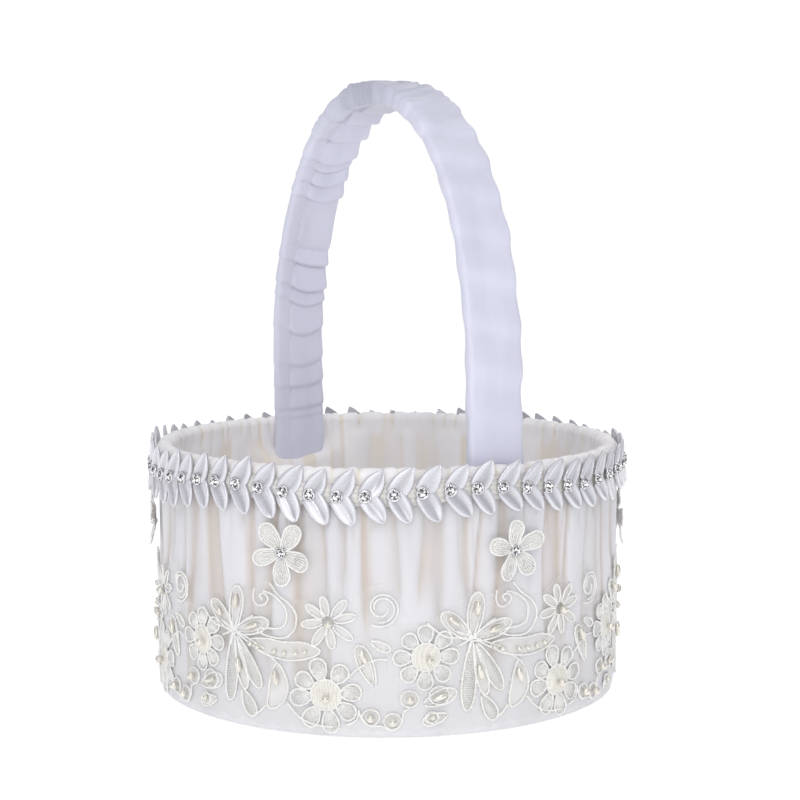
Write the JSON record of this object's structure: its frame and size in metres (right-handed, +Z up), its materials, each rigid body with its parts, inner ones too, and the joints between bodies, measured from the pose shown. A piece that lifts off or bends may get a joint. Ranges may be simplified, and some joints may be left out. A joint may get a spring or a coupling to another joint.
{
  "type": "flower girl basket",
  "caption": "Round satin-covered basket with an upright padded strap handle, a leaf and stone trim round the rim and a beaded lace band.",
  "frame": {"origin": "centre of the underside of the covered base, on the surface that the basket stands on", "axes": "+Z up along the axis of the round wall; X runs from one foot of the handle to the other"},
  "size_m": [0.1896, 0.1898, 0.236],
  "materials": {
    "outer_satin": "gathered white satin",
    "lining_satin": "gathered ivory satin",
    "handle_satin": "ruched cool white satin",
    "leaf_satin": "pressed glossy satin",
    "tape": "woven tape",
    "board": "plain board",
    "foam": "soft wadding",
    "strip_plastic": "plain strip",
    "staple_steel": "plated wire",
    "silver_cup": "bright plated",
    "stone": "cut clear stone with foil back",
    "lace_net": "fine ivory net",
    "lace_cord": "corded ivory lace",
    "organza": "ivory organza with corded edges",
    "pearl": "pearl lacquer"
  },
  "bodies": {
    "root": {"base_cover": "outer_satin", "base_board": "board", "wall_board": "board", "wall_foam": "foam", "outer_satin": "outer_satin", "lining_satin": "lining_satin", "floor_card": "board", "floor_foam": "foam", "floor_satin": "lining_satin", "trim_tape": "tape", "trim_leaves_upper": "leaf_satin", "trim_leaves_lower": "leaf_satin", "trim_stone_cups": "silver_cup", "trim_stones": "stone", "handle_strip": "strip_plastic", "handle_wadding": "foam", "handle_sleeve": "handle_satin", "handle_staples": "staple_steel", "lace_net": "lace_net", "lace_big_daisies": "lace_cord", "lace_small_daisies": "lace_cord", "lace_star_flowers": "lace_cord", "lace_orchids": "lace_cord", "lace_scrolls": "lace_cord", "lace_curls": "lace_cord", "lace_leaves": "lace_cord", "lace_bead_loops": "lace_cord", "pearls_round": "pearl", "pearls_seed": "pearl", "pearls_pointed": "pearl", "flower_cups": "silver_cup", "flower_stones": "stone", "flower_1": "organza", "flower_2": "organza", "flower_3": "organza", "flower_4": "organza", "flower_5": "organza", "flower_6": "organza"}
  },
  "joints": []
}
